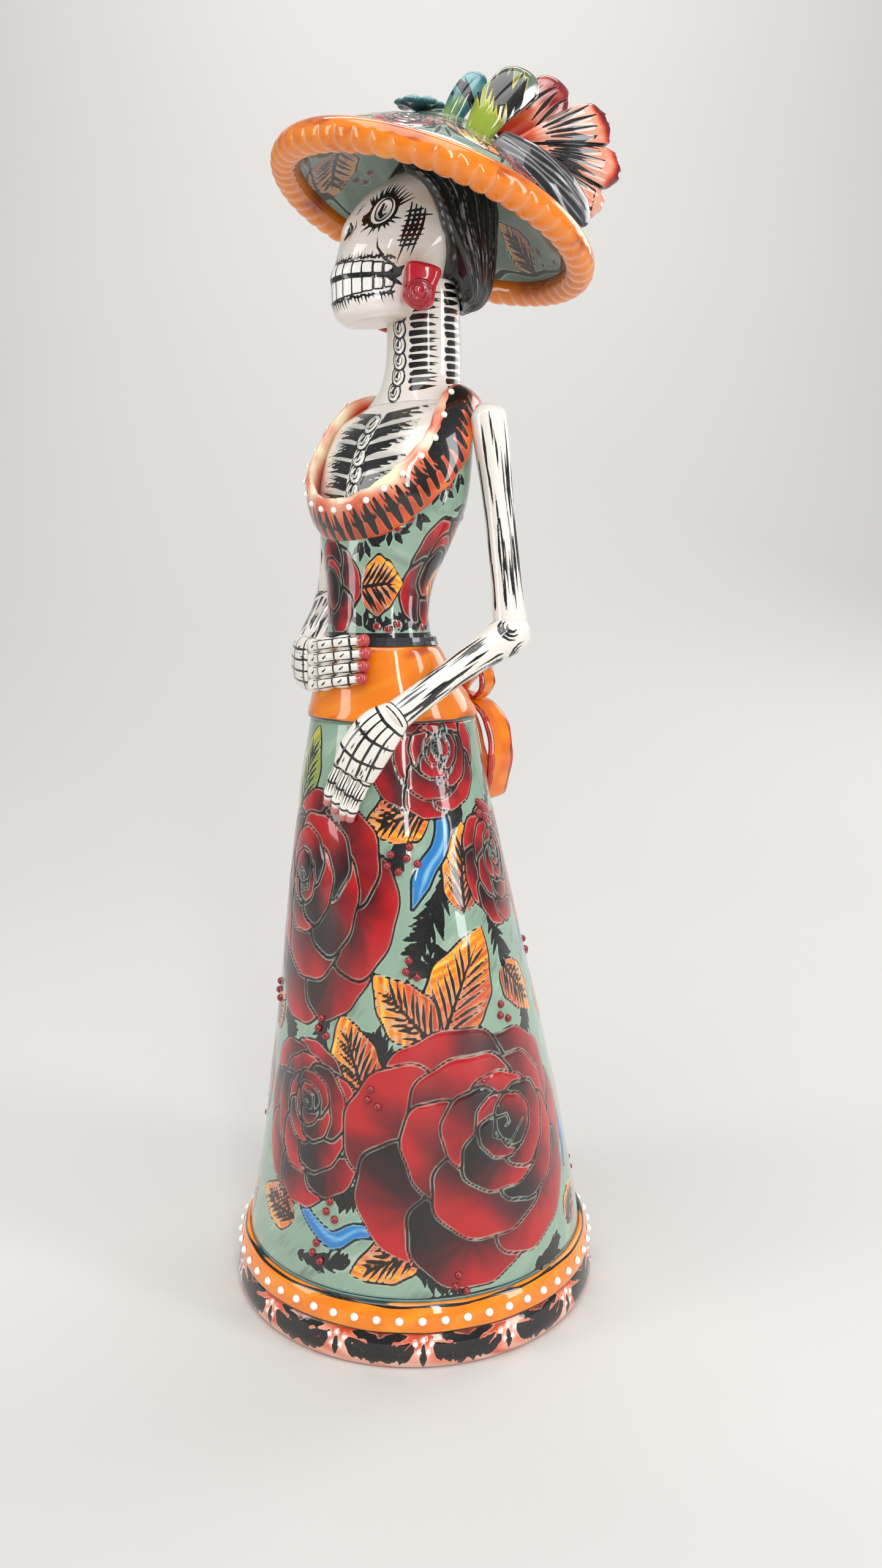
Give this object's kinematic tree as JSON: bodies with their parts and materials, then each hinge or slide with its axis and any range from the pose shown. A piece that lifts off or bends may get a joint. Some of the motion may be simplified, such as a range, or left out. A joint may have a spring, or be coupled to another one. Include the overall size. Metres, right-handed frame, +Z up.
{
  "type": "catrina figure",
  "caption": "Standing skeleton lady in a long flowered dress and wide plumed hat, a glazed ceramic folk figure that rests on its hollow skirt.",
  "frame": {"origin": "middle of the foot ring's resting face, which is also the middle of the bounding box's bottom", "axes": "+Z up, from the foot to the hat; the lady faces -Y, and her left arm is on the +X side"},
  "size_m": [0.112, 0.112, 0.352],
  "materials": {
    "glaze_green": "glossy sage green glaze, brush-painted with roses and leaves",
    "glaze_orange": "glossy orange glaze",
    "slip_white": "raised white slip dots under clear glaze",
    "glaze_berry": "raised maroon slip berries",
    "glaze_black": "glossy black glaze with pale scratched lines",
    "bone_white": "glossy ivory glaze with black brush strokes",
    "glaze_collar": "glossy orange-red glaze with black brush strokes",
    "glaze_red": "glossy deep red glaze",
    "glaze_teal": "glossy teal glaze with dark strokes",
    "glaze_leaf": "glossy green and yellow glaze with dark strokes",
    "glaze_plume": "glossy salmon glaze with black and red strokes",
    "foot_salmon": "glossy salmon glaze with black and rust brush strokes"
  },
  "bodies": {
    "root": {"foot_ring": "foot_salmon", "hem_band": "glaze_orange", "hem_beads": "slip_white", "skirt": "glaze_green", "skirt_berries": "glaze_berry", "torso": "glaze_green", "sash": "glaze_orange", "bodice_belt": "glaze_black", "collar": "glaze_collar", "collar_beads": "slip_white", "neck": "bone_white", "bow_knot": "glaze_orange", "bow_loop_left": "glaze_red", "bow_loop_right": "glaze_red", "bow_small_loop_left": "glaze_red", "bow_small_loop_right": "glaze_red", "bow_tail_left": "glaze_orange", "bow_tail_right": "glaze_orange", "left_upper_arm": "bone_white", "left_forearm": "bone_white", "left_palm": "bone_white", "left_fingers": "bone_white", "right_upper_arm": "bone_white", "right_forearm": "bone_white", "right_palm": "bone_white", "right_fingers": "bone_white", "skull": "bone_white", "jaw": "bone_white", "hair": "glaze_black", "earring_left": "glaze_red", "earring_right": "glaze_red", "hat": "glaze_green", "hat_roll": "glaze_orange", "plume": "glaze_plume", "plume_lobe": "glaze_plume", "leaf_green": "glaze_leaf", "leaf_teal": "glaze_teal", "leaf_back": "glaze_leaf", "hat_feather": "glaze_black", "teal_flower": "glaze_teal", "rose_front": "glaze_red", "rose_back": "glaze_red"}
  },
  "joints": []
}
